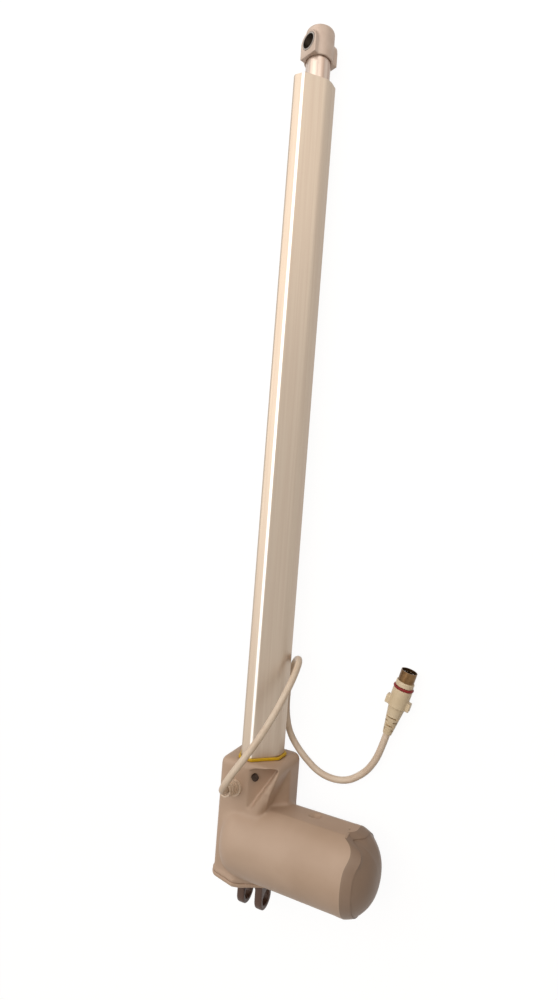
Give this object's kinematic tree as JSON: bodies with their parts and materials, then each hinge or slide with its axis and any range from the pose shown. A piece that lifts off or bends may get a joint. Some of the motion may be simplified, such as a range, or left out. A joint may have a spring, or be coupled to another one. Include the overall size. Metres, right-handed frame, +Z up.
{
  "type": "linear actuator",
  "caption": "Worm-driven linear actuator for a pool lift: moulded gear housing with side motor, aluminium tube with sliding rod and eye, rear clevis, short cable with round plug.",
  "frame": {"origin": "centre of the rear clevis bore", "axes": "+X along the clevis bore towards the motor's end, +Y along the spindle towards the rod eye, +Z up from the table that the actuator lies on"},
  "size_m": [0.1539, 0.7681, 0.0826],
  "materials": {
    "housing_plastic": "fine moulded grain, satin",
    "clevis_plastic": "fine moulded grain, satin",
    "cap_plastic": "fine moulded grain, satin",
    "tube_aluminium": "extruded, satin anodised",
    "gasket_rubber": "yellow moulded rubber",
    "rod_steel": "drawn, satin",
    "eye_alloy": "cast and tumbled",
    "bush_steel": "turned",
    "bright_steel": "turned, satin",
    "bronze": "sintered bronze",
    "magnet_ferrite": "sintered ferrite",
    "copper_winding": "enamelled copper wire",
    "nylon": "moulded nylon",
    "black_rubber": "moulded rubber",
    "board_laminate": "glass fibre laminate",
    "reed_glass": "clear glass tube",
    "carbon": "pressed carbon",
    "cable_sheath": "cream flexible sheath",
    "plug_plastic": "cream moulded plastic",
    "ring_red": "dark red moulded rubber",
    "shell_metal": "plated and worn"
  },
  "bodies": {
    "housing": {"gear_housing": "housing_plastic", "bottom_cover": "housing_plastic", "rear_clevis": "clevis_plastic", "motor_end_cap": "cap_plastic", "outer_tube": "tube_aluminium", "tube_gasket": "gasket_rubber", "bearing_outer_ring": "bright_steel", "motor_can": "bright_steel", "motor_front_bell": "bright_steel", "motor_rear_bell": "bright_steel", "cover_screws": "bright_steel", "tube_screw": "bright_steel", "plug_pins": "bright_steel", "motor_front_bush": "bronze", "motor_rear_bush": "bronze", "worm_end_bush": "bronze", "spindle_lower_bush": "bronze", "field_magnets": "magnet_ferrite", "rod_guide": "nylon", "motor_cradle": "black_rubber", "wiper_seal": "black_rubber", "sensor_strip": "board_laminate", "brush_card": "board_laminate", "reed_switches": "reed_glass", "motor_brushes": "carbon", "plug_insert": "carbon", "cable": "cable_sheath", "cable_gland": "cable_sheath", "plug_boot": "plug_plastic", "plug_collar": "plug_plastic", "plug_o_ring": "ring_red", "plug_shell": "shell_metal"},
    "spindle": {"spindle": "bright_steel", "worm_wheel": "bronze", "spindle_lock_nut": "bright_steel", "bearing_inner_ring": "bright_steel", "bearing_balls": "bright_steel"},
    "rod": {"rod_tube": "rod_steel", "spindle_nut": "bronze", "position_magnet": "magnet_ferrite", "rod_eye": "eye_alloy", "eye_bush": "bush_steel", "eye_cross_pin": "bush_steel"},
    "armature": {"motor_shaft": "bright_steel", "armature_core": "bright_steel", "armature_windings": "copper_winding", "commutator": "copper_winding", "worm": "bright_steel"}
  },
  "joints": [
    {"name": "armature_spin", "type": "hinge", "parent": "housing", "child": "armature", "pos_m": [0, 0.05322, 0.01524], "axis": [1, 0, 0], "range_deg": [0, 900000]},
    {"name": "spindle_spin", "type": "hinge", "parent": "housing", "child": "spindle", "pos_m": [0, 0, 0], "axis": [0, 0.9999, -0.0143], "range_deg": [-30000, 0]},
    {"name": "rod_slide", "type": "slide", "parent": "housing", "child": "rod", "axis": [0, 0.9999, -0.0143], "range_m": [0, 0.5]}
  ],
  "couplings": [
    {"joint": "spindle_spin", "follows": "rod_slide", "rad_per_m": -1047.2},
    {"joint": "armature_spin", "follows": "rod_slide", "rad_per_m": 31416}
  ]
}
